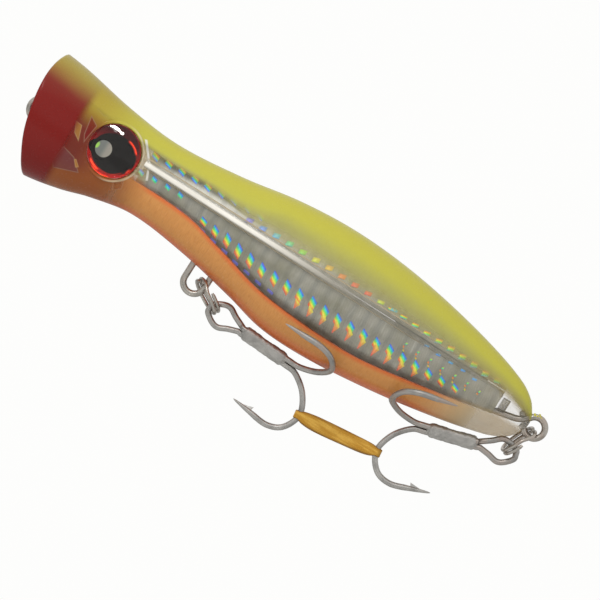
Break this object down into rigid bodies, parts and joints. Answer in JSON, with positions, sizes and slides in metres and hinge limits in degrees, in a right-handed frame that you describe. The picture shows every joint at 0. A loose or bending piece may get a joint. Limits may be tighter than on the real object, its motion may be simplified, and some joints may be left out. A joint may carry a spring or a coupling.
{
  "type": "topwater popper",
  "caption": "Topwater popper lure with a cupped mouth, a hollow body on a bent through wire and swinging treble hooks on split rings.",
  "frame": {"origin": "the centre of the line tie, the wire loop in the mouth, in the lure's centre plane", "axes": "+X points forward out of the mouth, +Z to the lure's back, +Y to its left side"},
  "size_m": [0.1355, 0.0258, 0.0472],
  "materials": {
    "shell_plastic": "clear moulded shell, tinted yellow on the back, red at the mouth and orange on the belly",
    "foil": "holographic prism foil",
    "wire_steel": "bright stainless wire",
    "eye_print": "red foil disc with a black pupil",
    "eye_dome": "clear cast dome",
    "ballast_steel": "plain steel weight",
    "tube_plastic": "clear tube",
    "ball_steel": "polished steel ball",
    "ring_steel": "nickel-plated steel",
    "hook_steel": "tinned steel wire",
    "braze": "tinned brazed joint",
    "band_rubber": "amber rubber"
  },
  "bodies": {
    "lure_body": {"body_shell_left": "shell_plastic", "body_shell_right": "shell_plastic", "foil_upper_left": "foil", "foil_lower_left": "foil", "foil_upper_right": "foil", "foil_lower_right": "foil", "through_wire": "wire_steel", "eye_disc_left": "eye_print", "eye_dome_left": "eye_dome", "eye_disc_right": "eye_print", "eye_dome_right": "eye_dome", "ballast": "ballast_steel", "rattle_tube": "tube_plastic"},
    "ball_1": {"rattle_ball_1": "ball_steel"},
    "ball_2": {"rattle_ball_2": "ball_steel"},
    "ball_3": {"rattle_ball_3": "ball_steel"},
    "front_ring": {"front_split_ring": "ring_steel"},
    "rear_ring": {"rear_split_ring": "ring_steel"},
    "front_treble": {"front_treble_double_hook": "hook_steel", "front_treble_single_hook": "hook_steel", "front_treble_braze": "braze", "rubber_band": "band_rubber"},
    "rear_treble": {"rear_treble_double_hook": "hook_steel", "rear_treble_single_hook": "hook_steel", "rear_treble_braze": "braze"}
  },
  "joints": [
    {"name": "front_ring_swing", "type": "hinge", "parent": "lure_body", "child": "front_ring", "pos_m": [-0.0495, 0, -0.0128], "axis": [0, 1, 0], "range_deg": [-100, 0], "deforming": ["rubber_band"]},
    {"name": "front_treble_swing", "type": "hinge", "parent": "front_ring", "child": "front_treble", "pos_m": [-0.05648, 0, -0.01683], "axis": [0, 1, 0], "range_deg": [-60, 0], "deforming": ["rubber_band"]},
    {"name": "rear_ring_swing", "type": "hinge", "parent": "lure_body", "child": "rear_ring", "pos_m": [-0.1294, 0, -0.0013], "axis": [0, 1, 0], "range_deg": [0, 90], "deforming": ["rubber_band"]},
    {"name": "rear_treble_swing", "type": "hinge", "parent": "rear_ring", "child": "rear_treble", "pos_m": [-0.12633, 0, -0.00875], "axis": [0, 1, 0], "range_deg": [0, 90], "deforming": ["rubber_band"]},
    {"name": "ball_1_roll", "type": "slide", "parent": "lure_body", "child": "ball_1", "axis": [-1, 0, 0], "range_m": [0, 0.0093]},
    {"name": "ball_2_roll", "type": "slide", "parent": "lure_body", "child": "ball_2", "axis": [-1, 0, 0], "range_m": [0, 0.0093]},
    {"name": "ball_3_roll", "type": "slide", "parent": "lure_body", "child": "ball_3", "axis": [-1, 0, 0], "range_m": [0, 0.0093]}
  ],
  "couplings": [
    {"joint": "ball_2_roll", "follows": "ball_1_roll", "ratio": 1},
    {"joint": "ball_3_roll", "follows": "ball_1_roll", "ratio": 1}
  ]
}
